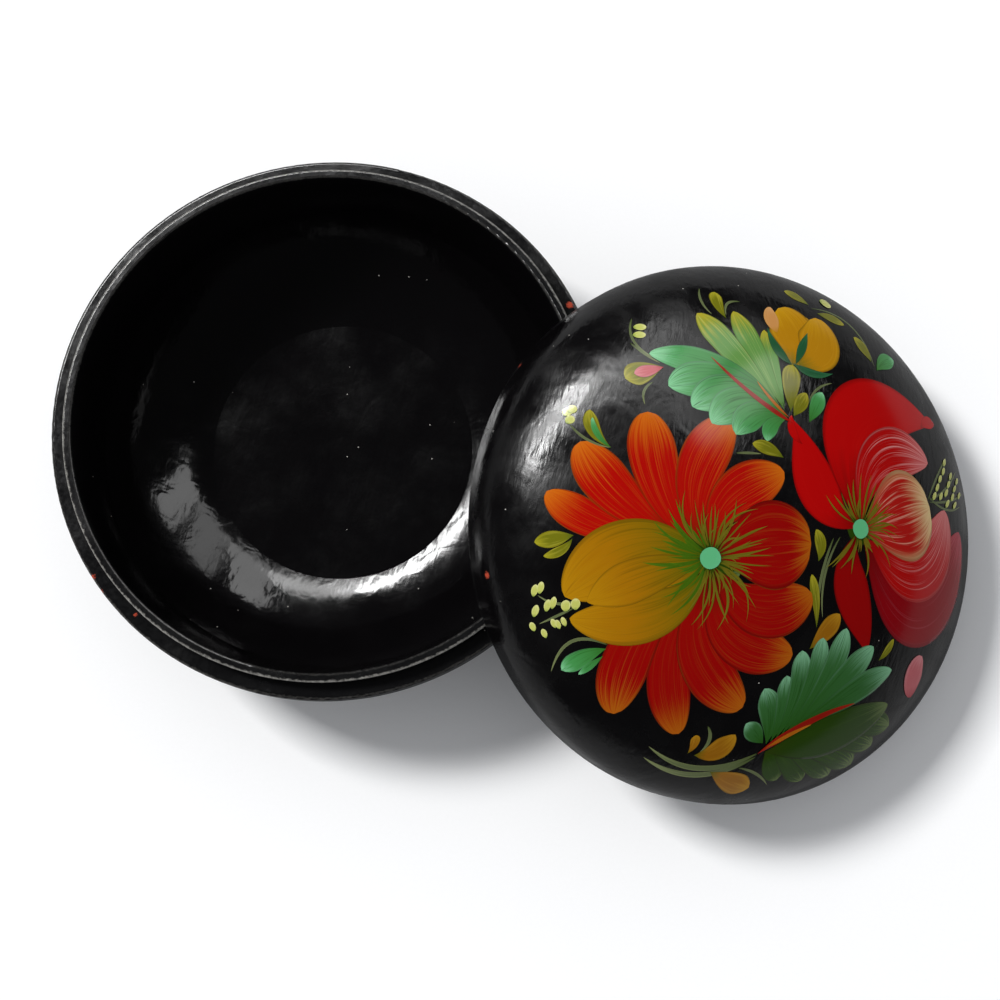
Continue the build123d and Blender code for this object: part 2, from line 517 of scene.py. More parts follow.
class Paint(Enum):
    """The mixed paints on the painter's board: the colours of body, edge, root, line and rim."""

    # scarlet that turns orange at the edges and the tip
    FLAME = StrokePaint("tempera_red_orange_edge", "A80500", "C4640A", "5E2002", "BC500E", "340802",
                        edge_from=0.86, tip_from=0.66, lines_across=38.0, lines_from=0.05,
                        line_strength=0.5)
    # deeper scarlet, orange only at the very tip
    EMBER = StrokePaint("tempera_red_orange_tip", "900200", "A85A0A", "4A1202", "983C0E", "2C0602",
                        edge_from=0.95, tip_from=0.76, lines_across=40.0, lines_from=0.05,
                        line_strength=0.42)
    # plain red, almost even
    BLOOD = StrokePaint("tempera_deep_red", "B20000", "B40604", "7A0000", "BE140C", "560000",
                        edge_from=0.9, tip_from=0.95, lines_across=18.0, line_strength=0.2)
    # the same red, darker
    WINE = StrokePaint("tempera_dark_red", "8C0000", "940602", "5E0000", "980E08", "480000",
                       edge_from=0.9, tip_from=0.95, lines_across=18.0, line_strength=0.2)
    # yellow ochre out of a green root
    OCHRE = StrokePaint("tempera_yellow_ochre", "A06A02", "AE7C06", "345602", "7E4C02", "463602",
                        edge_from=0.8, lines_across=20.0, line_strength=0.5, root_to=0.62)
    # red under a cream edge that breaks into fine lines
    CREAM = StrokePaint("tempera_red_cream_edge", "A8140E", "D2BC84", "7A2A08", "D08C78", "6A2A10",
                        edge_from=0.7, tip_from=0.62, lines_across=28.0, line_strength=0.95)
    # red with a dusty pink tip
    PINK = StrokePaint("tempera_red_pink_tip", "AA0606", "C66E6C", "8A0404", "D48C88", "7A1010",
                       edge_from=0.85, tip_from=0.66, lines_across=30.0, lines_from=0.1,
                       line_strength=0.75)
    # crimson with a rose tip
    ROSE = StrokePaint("tempera_rose", "86000A", "AC3644", "620202", "B4525E", "4A0004",
                       edge_from=0.85, tip_from=0.84, lines_across=26.0, line_strength=0.2)
    # leaf green with a mint edge
    MINT = StrokePaint("tempera_green_mint_edge", "44904C", "80C892", "2C661A", "1E5A26", "12300A",
                       edge_from=0.78, tip_from=0.74, lines_across=14.0, line_strength=0.85,
                       root_to=0.75)
    # darker green with a pale, bluish edge; the darkness is painted shade, for the leaf at the foot
    # of the lid on the shaded side of the dome
    SHADED_FERN = StrokePaint("tempera_green_pale_edge_painted_shade", "346434", "7CB48C", "22500E", "163E12", "0E2806",
                       edge_from=0.74, tip_from=0.66, lines_across=14.0, line_strength=0.85,
                       root_to=0.8)
    # leaf green that turns yellow at the tip
    LIME = StrokePaint("tempera_green_yellow_tip", "5E8E42", "AC9E22", "3A6612", "A6BC72", "24400C",
                       edge_from=0.9, tip_from=0.68, lines_across=12.0, line_strength=0.5)
    # dark green, close to the ground
    MOSS = StrokePaint("tempera_dark_green", "243F04", "5E6E3C", "2A3A04", "3A560C",
                       edge_from=0.92, tip_from=0.8, lines_across=16.0, line_strength=0.4)
    # thin olive, for the finest strokes
    OLIVE = StrokePaint("tempera_olive", "665E10", "7A701A", "34500A", "807A28",
                        lines_across=3.0, line_strength=0.3, rim=0.3)
    # thin grass green, for the same
    GRASS = StrokePaint("tempera_grass_green", "3C5E08", "50700E", "264E08", "567A18",
                        lines_across=3.0, line_strength=0.3, rim=0.2)
    # olive that turns yellow
    LEAFLET = StrokePaint("tempera_olive_yellow", "6C6C10", "9C9420", "4A5A10", "A8A23C",
                          edge_from=0.6, lines_across=6.0, line_strength=0.5)
    # brownish yellow
    AMBER = StrokePaint("tempera_amber", "8E5C0A", "A87A16", "4A540A", "A4741E",
                        edge_from=0.55, lines_across=8.0, line_strength=0.5)
    # warm yellow
    BUD = StrokePaint("tempera_chrome_yellow", "B27C08", "C2900E", "6E6408", "BE8A1E",
                      edge_from=0.7, lines_across=20.0, line_strength=0.4, root_to=0.3)
    # a pale highlight on the bud
    PEACH = StrokePaint("tempera_peach", "C48A4C", "CC9A64", "B07C14", "C89860", "B07C14",
                        lines_across=8.0, line_strength=0.5)
    # bluish green
    SEPAL = StrokePaint("tempera_bluish_green", "1E5230", "2C6440", "1A421E", "3E7C50",
                        lines_across=4.0, line_strength=0.3)
    # brownish red
    RIB = StrokePaint("tempera_brown_red", "8A1206", "98200A", "9A1606", "A03414",
                      lines_across=3.0, rim=0.0, line_strength=0.3)
    # the light on a rib
    ORANGE = StrokePaint("tempera_orange", "A85C0A", "B87018", "963806", "BC7E28",
                         lines_across=3.0, rim=0.0, line_strength=0.3)
    # dusty pink
    BLUSH = StrokePaint("tempera_blush", "BA5A60", "CC7C80", "9C2E38", "CC7E80",
                        lines_across=6.0, line_strength=0.35)
    # pale yellow
    PALE = StrokePaint("tempera_pale_yellow", "B8BC60", "D0D08C", "6E8636", "D2D298",
                       lines_across=3.0, rim=0.0, line_strength=0.4)
    # grey-green, as a drawn line
    THREAD = StrokePaint("tempera_grey_green", "5A6440", "767E52", "445226", "7C845A",
                         lines_across=2.0, rim=0.0, line_strength=0.3)
    # bright jade, for a flower's eye
    JADE = StrokePaint("tempera_jade", "5CB47C", "62B882", "5CB47C", "68BC88",
                       lines_across=4.0, rim=0.0, line_strength=0.25)


@dataclass(frozen=True)
class Stroke:
    """One stroke of the brush, in millimetres on the lid seen along its axis."""

    start: Point
    tip: Point
    breadth: float
    bow: float = 0.0  # how far the middle bends to the left of the straight line
    belly: float = 0.6  # share of the length where the stroke is broadest
    sway: float = 0.0  # further bend to the left close to the tip
    root: float = 1.0  # 0.5 is a round start and 1 or more a pointed one
    end: float = 0.6  # the same for the tip
    thinnest = 0.02  # share of the breadth, so that the faces at both ends keep an area

    def moved(self, by: Point) -> "Stroke":
        """The same stroke, shifted by millimetres down the slope and across it."""
        return replace(self, start=(self.start[0] + by[0], self.start[1] + by[1]),
                       tip=(self.tip[0] + by[0], self.tip[1] + by[1]))

    def at(self, along: float, across: float) -> Point:
        """A point of the stroke.

        Args:
            along: 0 at the start and 1 at the tip.
            across: -1 at the right edge and 1 at the left.

        Returns:
            The point in millimetres.
        """
        start, tip = Vector(self.start), Vector(self.tip)
        line = tip - start
        left = Vector((-line.y, line.x)).normalized()
        # a cubic curve, whose handles lie a third and two thirds along and 4/3 of the bow aside
        first = start + line / 3 + left * self.bow * 4 / 3
        second = start + line * 2 / 3 + left * (self.bow * 4 / 3 + self.sway)
        back = 1 - along
        middle = (start * back ** 3 + first * 3 * back * back * along
                  + second * 3 * back * along * along + tip * along ** 3)
        slope = ((first - start) * back * back + (second - first) * 2 * back * along
                 + (tip - second) * along * along)
        normal = Vector((-slope.y, slope.x)).normalized()
        point = middle + normal * across * self.half_width(along)
        return point.x, point.y

    def half_width(self, along: float) -> float:
        """Half the stroke's width.

        Args:
            along: 0 at the start and 1 at the tip.

        Returns:
            The half-width in millimetres.
        """
        if along <= self.belly:
            swell = math.sin(math.pi / 2 * along / self.belly) ** self.root
        else:
            past = (along - self.belly) / (1 - self.belly)
            swell = max(0.0, math.cos(math.pi / 2 * past)) ** self.end
        return self.breadth / 2 * max(swell, self.thinnest)


@dataclass(frozen=True)
class Dome:
    """The lid's outside in its own frame, in millimetres, and where that frame stands."""

    place: Matrix
    radius: float
    side: float  # upright band above the flat rim
    rise: float  # crown above that band
    outermost = 0.999  # share of the radius past which nothing is painted

    @classmethod
    def of_lid(cls, side: float) -> "Dome":
        """Reads the dome's size and lean off the CAD lid.

        Args:
            side: Height of the upright band above the rim, mm.

        Returns:
            The dome.
        """
        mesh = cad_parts["lid"].data
        mesh.calc_loop_triangles()
        spots = [(sum((mesh.vertices[i].co for i in t.vertices), Vector()) / 3, t.area)
                 for t in mesh.loop_triangles]
        total, middle = 0.0, Vector()
        for spot, area in spots:
            total += area
            middle += spot * area
        middle /= total
        # the axis is where the surface spreads differently from all directions across it, and the
        # lid leans about Y only, so the spread along X and Z gives its lean
        spread = Matrix.Diagonal((0.0, 0.0, 0.0))
        for spot, area in spots:
            arm = (spot - middle) / MM
            for i, j in ((0, 0), (0, 2), (2, 2)):
                spread[i][j] += arm[i] * arm[j] * area
        lean = math.atan2(-2 * spread[0][2], spread[0][0] - spread[2][2]) / 2
        log.info("lid leans %.2f degrees", math.degrees(lean))
        turn = Matrix.Rotation(lean, 4, "Y")
        own = [turn.inverted() @ v.co for v in mesh.vertices]
        low = [min(p[i] for p in own) for i in range(3)]
        high = [max(p[i] for p in own) for i in range(3)]
        centre = Vector(((low[0] + high[0]) / 2, (low[1] + high[1]) / 2, low[2]))
        place = Matrix.Translation(turn @ centre) @ turn
        radius = (high[1] - low[1]) / 2 / MM
        return cls(place, radius, side, (high[2] - low[2]) / MM - side)

    def spot(self, x: float, y: float, lift: float) -> Vector:
        """A point over the dome, in the row frame and in metres.

        Args:
            x: Millimetres down the slope from the axis.
            y: Millimetres across it.
            lift: Millimetres off the surface.

        Returns:
            The point.
        """
        reach = min(math.hypot(x, y), self.radius * self.outermost)
        share = reach / self.radius
        height = self.side + self.rise * math.sqrt(1 - share * share)
        normal = Vector((x / self.radius ** 2, y / self.radius ** 2,
                         (height - self.side) / self.rise ** 2))
        own = Vector((x, y, height)) + normal.normalized() * lift
        return self.place @ (own * MM)


@dataclass
class Brushwork:
    """Lays strokes on the dome as thin coats of paint, each a little over the last."""

    dome: Dome
    coat: float = 0.02  # mm thick
    cell: float = 1.1  # mm, the mesh's step along and across a stroke
    fewest: tuple[int, int] = (14, 4)  # steps along and across the smallest stroke
    crease: float = 50.0  # degrees, past which the coat's outline is sharp
    mixed: dict[Paint, bpy.types.Material] = field(default_factory=dict)
    uv_name = "stroke"
    number_name = "number"

    def lay(self, name: str, paint: Paint, strokes: list[Stroke], lift: float,
            step: float) -> None:
        """Makes one piece from a group of strokes of one paint.

        Args:
            name: The piece's name.
            paint: The paint.
            strokes: The strokes, from the lowest to the one on top.
            lift: Height of the first over the lacquer, mm.
            step: How much higher each stroke lies than the last, mm.
        """
        bm = bmesh.new()
        uv = bm.loops.layers.uv.new(self.uv_name)
        number = bm.verts.layers.float.new(self.number_name)
        for i, stroke in enumerate(strokes):
            self._add(bm, uv, number, stroke, i, lift + step * i)
        bmesh.ops.solidify(bm, geom=bm.faces[:], thickness=self.coat * MM)
        mesh = bpy.data.meshes.new(name)
        bm.to_mesh(mesh)
        bm.free()
        mesh.shade_smooth()
        mesh.set_sharp_from_angle(angle=math.radians(self.crease))
        piece = bpy.data.objects.new(name, mesh)
        bpy.context.collection.objects.link(piece)
        mesh.materials.append(self._mix(paint))
        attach(piece, "lid")
        log.info("%s: %d strokes, %d faces", name, len(strokes), len(mesh.polygons))

    def _mix(self, paint: Paint) -> bpy.types.Material:
        """The paint's material, mixed the first time it is asked for.

        Args:
            paint: The paint.

        Returns:
            The material.
        """
        if paint not in self.mixed:
            self.mixed[paint] = paint.value.material()
        return self.mixed[paint]

    def _add(self, bm: bmesh.types.BMesh, uv: bmesh.types.BMLayerItem,
             number: bmesh.types.BMLayerItem, stroke: Stroke, index: int, lift: float) -> None:
        """Adds one stroke as a bent grid.

        Args:
            bm: The mesh under construction.
            uv: Its layer for along and across.
            number: Its layer for the stroke's number.
            stroke: The stroke.
            index: The stroke's number.
            lift: Its height over the lacquer, mm.
        """
        length = math.dist(stroke.start, stroke.tip) + abs(stroke.bow)
        columns = max(self.fewest[0], round(length / self.cell))
        rows = max(self.fewest[1], round(stroke.breadth / self.cell))
        made = bmesh.ops.create_grid(bm, x_segments=columns, y_segments=rows, size=0.5)["verts"]
        flat = {v: (v.co.x + 0.5, v.co.y * 2) for v in made}
        for face in {f for v in made for f in v.link_faces}:
            for loop in face.loops:
                along, across = flat[loop.vert]
                loop[uv].uv = (along, across / 2 + 0.5)
        for vert, (along, across) in flat.items():
            # the columns crowd a little towards both ends, where the outline turns most
            eased = (1 - math.cos(math.pi * along)) / 2 * 0.5 + along * 0.5
            x, y = stroke.at(eased, across)
            vert.co = self.dome.spot(x, y, lift)
            vert[number] = index


def whiskers(seed: int, spans: list[tuple[float, float, int]], reach: tuple[float, float],
             breadth: float, hub: float, bow: float) -> list[Stroke]:
    """Fine tapered strokes that fan out from a flower's eye.

    Args:
        seed: Seed of the small differences between them.
        spans: First and last direction in degrees, and how many, for each fan.
        reach: Shortest and longest, mm.
        breadth: Mean breadth, mm.
        hub: Distance of the roots from the eye's middle, mm.
        bow: Bend as a share of the length.

    Returns:
        The strokes round the origin.
    """
    rng = random.Random(seed)
    fan = []
    for first, last, count in spans:
        for i in range(count):
            turn = math.radians(first + (last - first) * (i + rng.uniform(0.2, 0.8)) / count)
            far = rng.uniform(*reach)
            way = (math.cos(turn), math.sin(turn))
            fan.append(Stroke((way[0] * hub, way[1] * hub), (way[0] * far, way[1] * far),
                              breadth * rng.uniform(0.7, 1.3),
                              bow=far * bow * rng.uniform(-0.4, 1.0),
                              belly=rng.uniform(0.3, 0.6), end=1.0))
    return fan


def round_dab(radius: float) -> Stroke:
    """A round dab on the origin, with a radius in millimetres."""
    return Stroke((-radius, 0.0), (radius, 0.0), radius * 2, belly=0.5, root=0.5, end=0.5)


@dataclass
class Motif:
    """A part of the painting, drawn round its own middle."""

    brush: Brushwork
    middle: Point = (0.0, 0.0)  # mm down the slope from the lid's axis, and across it

    def lay(self, name: str, paint: Paint, strokes: list[Stroke], lift: float,
            step: float = 0.006) -> None:
        """Lays strokes that were drawn round the origin about the motif's middle.

        Args:
            name: The piece's name.
            paint: The paint.
            strokes: The strokes, from the lowest to the one on top.
            lift: Height of the first over the lacquer, mm.
            step: How much higher each stroke lies than the last, mm.
        """
        self.brush.lay(name, paint, [stroke.moved(self.middle) for stroke in strokes], lift, step)


@dataclass
class Flower(Motif):
    """A flower: a dark heart under the petals, fine strokes over them and an eye on top."""

    eye_radius: float = 2.9  # mm
    heart_radius: float = 9.5  # mm
    fine_step: float = 0.0004  # mm, how much higher each fine stroke lies than the last


@dataclass
class LargeFlower(Flower):
    """The open flower in red and orange, with three ochre petals."""

    middle: Point = (-20.0, -16.3)

    def build(self) -> None:
        """Lays the petals, the fine strokes and the eye."""
        flame = [
            Stroke((-16, 3), (-44, 6), 9.5, bow=4, belly=0.7, sway=-1, end=0.52),
            Stroke((-10, 3), (-39.5, 21), 12.5, bow=3.5, belly=0.7, end=0.48),
            Stroke((-5, 2), (-25, 33.5), 12.8, bow=4.5, belly=0.72, sway=-2, end=0.45),
            Stroke((-2, 2), (-3, 38.5), 13, bow=7.5, belly=0.68, sway=-3, end=0.48),
            Stroke((0, 2), (14.5, 28.5), 13.5, bow=7.5, belly=0.64, sway=-5, end=0.52),
        ]
        ember = [
            Stroke((1, -6), (9, -45.5), 11, bow=-8, belly=0.7, sway=2, end=0.48),
            Stroke((-1, -6), (-9, -45), 12.5, bow=-6.5, belly=0.72, end=0.48),
            Stroke((1, -3), (22.5, -34.5), 13, bow=-9.7, belly=0.7, sway=3, end=0.45),
            Stroke((2, -3), (31, -17.5), 13.5, bow=-10, belly=0.68, sway=4, end=0.48),
            Stroke((2, -2), (31, -0.5), 15.5, bow=-8, belly=0.66, sway=1, end=0.5),
            Stroke((1, 1), (27, 12), 24, bow=1, belly=0.6, end=0.42),
        ]
        ochre = [
            Stroke((0, -1), (-16, -12), 9, belly=0.6),
            Stroke((0, -3), (-29, -24.5), 13.5, bow=7, belly=0.58, sway=-2),
            Stroke((-1, 0), (-32, -19.5), 20, bow=-7, belly=0.6, sway=3),
            Stroke((-1, -1), (-26.5, -19.5), 11.5, bow=-1.5, belly=0.66, end=0.7),
        ]
        fine = whiskers(3, [(-110, 135, 60)], reach=(7, 20), breadth=0.52, hub=2.6, bow=0.2)
        green = whiskers(4, [(130, 255, 28)], reach=(8, 19), breadth=0.75, hub=2.6, bow=0.1)
        self.lay("large_flower_heart", Paint.MOSS, [round_dab(self.heart_radius)], 0.035)
        self.lay("large_flower_flame_petals", Paint.FLAME, flame, 0.05)
        self.lay("large_flower_ember_petals", Paint.EMBER, ember, 0.08)
        self.lay("large_flower_ochre_petals", Paint.OCHRE, ochre, 0.13)
        self.lay("large_flower_fine_strokes", Paint.OLIVE, fine, 0.155, self.fine_step)
        self.lay("large_flower_green_strokes", Paint.GRASS, green, 0.16, self.fine_step)
        self.lay("large_flower_eye", Paint.JADE, [round_dab(self.eye_radius)], 0.2)


@dataclass
class RedFlower(Flower):
    """The flower in plain red, with petals streaked in pink and cream."""

    middle: Point = (21.4, 4.6)
    eye_radius: float = 2.7
    heart_radius: float = 4.5

    def build(self) -> None:
        """Lays the petals, the fine strokes and the eye."""
        plain = [
            Stroke((-1, 0), (-27, 23), 13.5, bow=8, belly=0.45, sway=-9, end=1.1),
            Stroke((-1, 1), (23, 40), 22.5, bow=21.5, belly=0.5, sway=-7, end=0.85),
            Stroke((-23, 17), (-27.5, 24), 2.6, bow=1.5, belly=0.5),
            Stroke((18, 37), (25, 41), 4.0, bow=1.0, belly=0.6),
        ]
        tail = [Stroke((-1, -2), (13, -31.5), 11.5, bow=-6.5, belly=0.45, sway=8, end=0.9)]
        rose = [Stroke((2, -3), (40, 12.5), 25, bow=-19.5, belly=0.5, sway=2, end=0.6)]
        pink = [
            Stroke((3, -2), (31, 16), 20, bow=-12.5, belly=0.55, end=0.6),
            Stroke((0, 2), (21.5, 27), 15.5, bow=10.5, belly=0.66, end=0.6),
        ]
        cream = [Stroke((1, 0), (24, 14.5), 26, belly=0.62, end=0.42)]
        fine = whiskers(5, [(-70, 115, 30), (120, 160, 5), (235, 290, 8)], reach=(6, 16),
                        breadth=0.55, hub=2.4, bow=0.12)
        self.lay("red_flower_heart", Paint.MOSS, [round_dab(self.heart_radius)], 0.035)
        self.lay("red_flower_plain_petals", Paint.BLOOD, plain, 0.05)
        self.lay("red_flower_tail_petal", Paint.WINE, tail, 0.06)
        self.lay("red_flower_rose_petals", Paint.ROSE, rose, 0.1)
        self.lay("red_flower_pink_petals", Paint.PINK, pink, 0.12)
        self.lay("red_flower_cream_petal", Paint.CREAM, cream, 0.14)
        self.lay("red_flower_fine_strokes", Paint.OLIVE, fine, 0.155, self.fine_step)
        self.lay("red_flower_eye", Paint.JADE, [round_dab(self.eye_radius)], 0.2)


@dataclass
class UpperLeaf(Motif):
    """The lobed leaf above the large flower."""

    def build(self) -> None:
        """Lays the lobes and the rib."""
        lime = [
            Stroke((-8.5, 30.5), (-16.5, 51.5), 5, bow=0.8, belly=0.7),
            Stroke((-8.5, 29.5), (-25.5, 54.5), 7, bow=0.4, belly=0.76),
            Stroke((-9.5, 29.5), (-35.5, 50.5), 8, bow=0.4, belly=0.78),
        ]
        mint = [
            Stroke((-9.5, 29.5), (-47, 34), 8.5, bow=-3.8, belly=0.66, sway=1),
            Stroke((-9.5, 29.5), (-41, 26), 10.4, bow=-4.6, belly=0.76),
            Stroke((-8.5, 28.5), (-34, 22), 10.5, bow=-5.2, belly=0.72),
            Stroke((-7.5, 27.5), (-28, 19), 10, bow=-5.1, belly=0.7),
            Stroke((-7.5, 27.5), (-21, 18), 8, bow=-3.6, belly=0.68),
            Stroke((-7.5, 27), (-12, 19), 4.5, bow=-1.8, belly=0.64),
        ]
        rib = [Stroke((-5.5, 26.5), (-31, 38), 1.4, bow=1.5, belly=0.2)]
        accent = [Stroke((-6.5, 27.5), (-17.5, 35), 0.9, bow=0.6, belly=0.4)]
        self.lay("upper_leaf_yellow_lobes", Paint.LIME, lime, 0.05)
        self.lay("upper_leaf_mint_lobes", Paint.MINT, mint, 0.09)
        self.lay("upper_leaf_rib", Paint.RIB, rib, 0.18)
        self.lay("upper_leaf_rib_light", Paint.ORANGE, accent, 0.2)


@dataclass
class Bud(Motif):
    """The closed yellow bud with its sepals and the leaflets under it."""

    def build(self) -> None:
        """Lays the bud."""
        bud = [
            Stroke((-6.5, 44.5), (-5.5, 61.5), 13, belly=0.6, end=0.4, root=0.7),
            Stroke((-7.5, 43.5), (-12, 60.5), 15.5, bow=-2.8, belly=0.6, end=0.5, root=0.7),
            Stroke((-5.5, 44.5), (0, 62), 14, bow=-3.5, belly=0.55, end=0.5, root=0.7),
        ]
        sepals = [
            Stroke((-7.5, 43.5), (-15.5, 52.5), 3, bow=1.4, belly=0.4, end=1.0),
            Stroke((-6.5, 44), (-3, 55.5), 2.6, belly=0.5, end=1.0),
            Stroke((-7.5, 44), (5.5, 45.5), 2.6, bow=-1.6, belly=0.4, end=1.0),
        ]
        leaflets = [
            Stroke((-6.5, 29.5), (-7.5, 43.5), 5.8, bow=0.4, belly=0.76),
            Stroke((-5.5, 28.5), (-2.5, 36.5), 4.2, belly=0.6),
        ]
        glow = [Stroke((-12.5, 52), (-14.5, 60), 4.5, bow=0.8, belly=0.5, root=0.8)]
        self.lay("bud_petals", Paint.BUD, bud, 0.07)
        self.lay("bud_highlight", Paint.PEACH, glow, 0.1)
        self.lay("bud_sepals", Paint.SEPAL, sepals, 0.11)
        self.lay("bud_leaflets", Paint.LEAFLET, leaflets, 0.16)


@dataclass
class LowerLeaf(Motif):
    """The leaf at the foot of the lid, half mint darkened with painted shade, and half dark green.
    """

    def build(self) -> None:
        """Lays the two halves and the rib."""
        dark = [
            Stroke((15, -60), (24, -66), 6.3, belly=0.6),
            Stroke((17, -59), (32.5, -64), 6.7, bow=0.4, belly=0.66),
            Stroke((19, -58), (41.5, -60.5), 7.3, bow=1, belly=0.7),
            Stroke((19, -57), (48, -55.5), 8.2, bow=1.5, belly=0.74),
            Stroke((21, -55), (51.5, -49), 7.5, bow=1.5, belly=0.78),
            Stroke((23, -52), (54.5, -42.5), 7.5, bow=1.5, belly=0.8),
            Stroke((15, -60), (49.5, -37.5), 12, bow=-1.7, belly=0.5),
        ]
        mint = [
            Stroke((13, -58), (5.5, -54.5), 5.1, belly=0.6),
            Stroke((14, -58), (6.5, -44.5), 6.7, bow=-1.3, belly=0.68),
            Stroke((15, -57), (11.5, -39.5), 5.6, bow=-1.2, belly=0.76),
            Stroke((16, -56), (13.5, -32), 5.9, bow=-1.7, belly=0.82),
            Stroke((17, -55), (18.5, -27), 5.4, bow=-1.9, belly=0.84),
            Stroke((18, -54), (25, -22.5), 6.6, bow=-2.3, belly=0.8),
            Stroke((20, -52), (36, -24.5), 7.2, bow=0.2, belly=0.76),
            Stroke((21, -50), (45.5, -28.5), 7.4, bow=-1.0, belly=0.66, sway=3),
        ]
        rib = [Stroke((13, -61), (36.5, -40.5), 2.0, bow=1.8, belly=0.25)]
        accent = [Stroke((14, -59.5), (25, -49.5), 1.1, bow=0.4, belly=0.4)]
        self.lay("lower_leaf_dark_lobes", Paint.MOSS, dark, 0.05)
        # the mint half in a darker green that is painted shade
        self.lay("lower_leaf_mint_lobes_painted_shade", Paint.SHADED_FERN, mint, 0.14)
        self.lay("lower_leaf_rib", Paint.RIB, rib, 0.25)
        self.lay("lower_leaf_rib_light", Paint.ORANGE, accent, 0.27)


